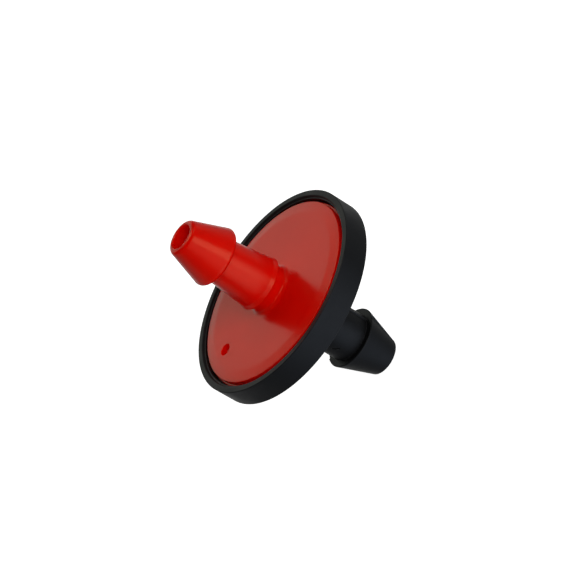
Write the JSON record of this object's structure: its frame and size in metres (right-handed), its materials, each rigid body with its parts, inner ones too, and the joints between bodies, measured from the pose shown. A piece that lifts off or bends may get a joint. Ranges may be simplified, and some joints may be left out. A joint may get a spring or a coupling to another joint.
{
  "type": "drip emitter",
  "caption": "Pressure-compensating button drip emitter with a black barbed inlet base and a red snap-in cover that carries the outlet barb.",
  "frame": {"origin": "centre of the inlet barb's end face, the lowest point of the emitter", "axes": "+Z along the flow axis from the inlet barb to the outlet barb; +X and +Y across the round body, with the small dimple in the cover at azimuth 166.5 degrees from +X"},
  "size_m": [0.02, 0.02, 0.0235],
  "materials": {
    "black_plastic": "satin injection-moulded polyethylene",
    "red_plastic": "semi-gloss, slightly translucent injection-moulded plastic",
    "natural_plastic": "undyed acetal, satin",
    "silicone": "matt silicone rubber"
  },
  "bodies": {
    "base": {"inlet_base": "black_plastic"},
    "cover": {"outlet_cover": "red_plastic"},
    "insert": {"flow_insert": "natural_plastic"},
    "membrane": {"diaphragm": "silicone"}
  },
  "joints": [
    {"name": "cover_pull_off", "type": "slide", "parent": "base", "child": "cover", "axis": [0, 0, 1], "range_m": [0, 0.016]},
    {"name": "insert_lift_out", "type": "slide", "parent": "base", "child": "insert", "axis": [0, 0, 1], "range_m": [0, 0.008]},
    {"name": "diaphragm_float", "type": "slide", "parent": "insert", "child": "membrane", "axis": [0, 0, 1], "range_m": [0, 0.00025]}
  ],
  "couplings": [
    {"joint": "insert_lift_out", "follows": "cover_pull_off", "ratio": 0.5}
  ]
}
